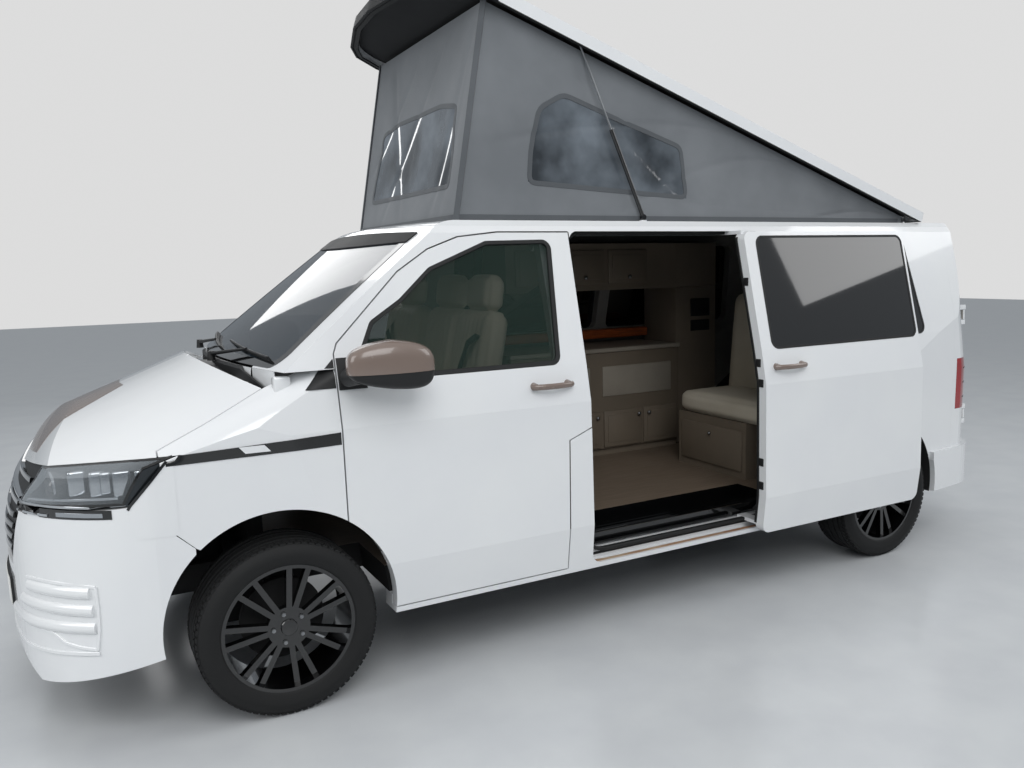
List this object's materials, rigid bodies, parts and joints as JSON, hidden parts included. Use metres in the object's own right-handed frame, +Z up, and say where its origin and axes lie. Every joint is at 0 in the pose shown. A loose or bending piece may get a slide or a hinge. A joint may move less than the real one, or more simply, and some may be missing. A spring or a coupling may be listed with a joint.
{
  "type": "camper van",
  "caption": "Long panel-van camper with a raised pop roof on canvas walls, sliding door left open, fitted living space, opening doors and bonnet, steered and rolling wheels.",
  "frame": {"origin": "on the floor under the middle of the van's length, on its centre plane", "axes": "+X forward, +Y to the van's left side, +Z up"},
  "size_m": [5.304, 2.29, 2.9909],
  "materials": {
    "paint": "glossy white",
    "clear_glass": "clear, slightly green",
    "dark_glass": "dark privacy tint",
    "black_plastic": "grained black",
    "lamp_clear": "clear lens",
    "lamp_red": "red lens",
    "mirror_cap": "taupe cap on a black base",
    "underbody": "black undercoat",
    "floor_vinyl": "taupe vinyl on a steel floor",
    "seat_cover": "cream cover",
    "cabinet": "taupe laminate",
    "canvas_cloth": "grey canvas with clear film windows",
    "strut_metal": "black",
    "tyre_rubber": "matt black",
    "rim_black": "gloss black"
  },
  "bodies": {
    "body": {"bench_backrest": "seat_cover", "bench_base": "cabinet", "bench_cushion": "seat_cover", "body_side_left": "paint", "body_side_right": "paint", "bulkhead": "underbody", "canvas": "canvas_cloth", "dashboard": "black_plastic", "double_seat": "seat_cover", "driver_seat": "seat_cover", "engine_block": "underbody", "floor_pan": "floor_vinyl", "front_bumper": "paint", "front_subframe": "underbody", "fuel_tank": "underbody", "grille": "black_plastic", "headlamps": "lamp_clear", "kitchen_unit": "cabinet", "overhead_lockers": "cabinet", "rear_axle": "underbody", "rear_bumper": "paint", "rear_frame": "paint", "roof_frame": "paint", "scuttle": "black_plastic", "seat_bases": "cabinet", "side_glass": "dark_glass", "sliding_door": "paint", "steering_wheel": "black_plastic", "step_tray": "black_plastic", "tail_lamps": "lamp_red", "tow_crossmember": "underbody", "windscreen": "clear_glass", "wing_left": "paint", "wing_right": "paint"},
    "front_door_left": {"front_door_left": "paint", "door_glass_left": "clear_glass", "mirror_left": "mirror_cap"},
    "front_door_right": {"front_door_right": "paint", "door_glass_right": "clear_glass", "mirror_right": "mirror_cap"},
    "bonnet": {"bonnet": "paint"},
    "rear_door_left": {"rear_door_left": "paint", "rear_glass_left": "dark_glass"},
    "rear_door_right": {"rear_door_right": "paint", "rear_glass_right": "dark_glass"},
    "pop_roof": {"pop_roof": "paint"},
    "strut_tube_left": {"strut_tube_left": "strut_metal"},
    "strut_tube_right": {"strut_tube_right": "strut_metal"},
    "strut_rod_left": {"strut_rod_left": "strut_metal"},
    "strut_rod_right": {"strut_rod_right": "strut_metal"},
    "knuckle_left": {"knuckle_left": "underbody"},
    "knuckle_right": {"knuckle_right": "underbody"},
    "wheel_front_left": {"tyre_front_left": "tyre_rubber", "rim_front_left": "rim_black"},
    "wheel_front_right": {"tyre_front_right": "tyre_rubber", "rim_front_right": "rim_black"},
    "wheel_rear_left": {"tyre_rear_left": "tyre_rubber", "rim_rear_left": "rim_black"},
    "wheel_rear_right": {"tyre_rear_right": "tyre_rubber", "rim_rear_right": "rim_black"}
  },
  "joints": [
    {"name": "front_door_left_hinge", "type": "hinge", "parent": "body", "child": "front_door_left", "pos_m": [1.5, 0.937, 1], "axis": [0, 0, -1], "range_deg": [0, 68]},
    {"name": "front_door_right_hinge", "type": "hinge", "parent": "body", "child": "front_door_right", "pos_m": [1.5, -0.937, 1], "axis": [0, 0, 1], "range_deg": [0, 68]},
    {"name": "bonnet_hinge", "type": "hinge", "parent": "body", "child": "bonnet", "pos_m": [1.775, 0, 1.262], "axis": [0, -1, 0], "range_deg": [0, 52]},
    {"name": "rear_door_left_hinge", "type": "hinge", "parent": "body", "child": "rear_door_left", "pos_m": [-2.52325, 0.792, 1.1], "axis": [-0.0698, 0, -0.9976], "range_deg": [0, 90]},
    {"name": "rear_door_right_hinge", "type": "hinge", "parent": "body", "child": "rear_door_right", "pos_m": [-2.52325, -0.792, 1.1], "axis": [0.0698, 0, 0.9976], "range_deg": [0, 90]},
    {"name": "pop_roof_hinge", "type": "hinge", "parent": "body", "child": "pop_roof", "pos_m": [-2.15, 0, 1.95], "axis": [0, 1, 0], "range_deg": [0, 18], "deforming": ["canvas"]},
    {"name": "strut_tube_left_pivot", "type": "hinge", "parent": "body", "child": "strut_tube_left", "pos_m": [-0.15, 0.688, 1.945], "axis": [0, 1, 0], "range_deg": [-1, 66.6]},
    {"name": "strut_rod_left_slide", "type": "slide", "parent": "strut_tube_left", "child": "strut_rod_left", "axis": [0.4131, 0, 0.9107], "range_m": [-0.38, 0.005]},
    {"name": "steer_left", "type": "hinge", "parent": "body", "child": "knuckle_left", "pos_m": [1.708, 0.711, 0.35], "axis": [0, 0, 1], "range_deg": [-35, 35]},
    {"name": "wheel_front_left_spin", "type": "hinge", "parent": "knuckle_left", "child": "wheel_front_left", "pos_m": [1.708, 0.814, 0.35], "axis": [0, 1, 0], "continuous": true},
    {"name": "wheel_rear_left_spin", "type": "hinge", "parent": "body", "child": "wheel_rear_left", "pos_m": [-1.692, 0.814, 0.35], "axis": [0, 1, 0], "continuous": true},
    {"name": "strut_tube_right_pivot", "type": "hinge", "parent": "body", "child": "strut_tube_right", "pos_m": [-0.15, -0.688, 1.945], "axis": [0, 1, 0], "range_deg": [-1, 66.6]},
    {"name": "strut_rod_right_slide", "type": "slide", "parent": "strut_tube_right", "child": "strut_rod_right", "axis": [0.4131, 0, 0.9107], "range_m": [-0.38, 0.005]},
    {"name": "steer_right", "type": "hinge", "parent": "body", "child": "knuckle_right", "pos_m": [1.708, -0.711, 0.35], "axis": [0, 0, 1], "range_deg": [-35, 35]},
    {"name": "wheel_front_right_spin", "type": "hinge", "parent": "knuckle_right", "child": "wheel_front_right", "pos_m": [1.708, -0.814, 0.35], "axis": [0, 1, 0], "continuous": true},
    {"name": "wheel_rear_right_spin", "type": "hinge", "parent": "body", "child": "wheel_rear_right", "pos_m": [-1.692, -0.814, 0.35], "axis": [0, 1, 0], "continuous": true}
  ],
  "couplings": [
    {"joint": "steer_right", "follows": "steer_left", "ratio": 1},
    {"joint": "strut_tube_left_pivot", "follows": "pop_roof_hinge", "ratio": 3.6444},
    {"joint": "strut_rod_left_slide", "follows": "pop_roof_hinge", "m_per_rad": -1.1835},
    {"joint": "strut_tube_right_pivot", "follows": "pop_roof_hinge", "ratio": 3.6444},
    {"joint": "strut_rod_right_slide", "follows": "pop_roof_hinge", "m_per_rad": -1.1835}
  ]
}
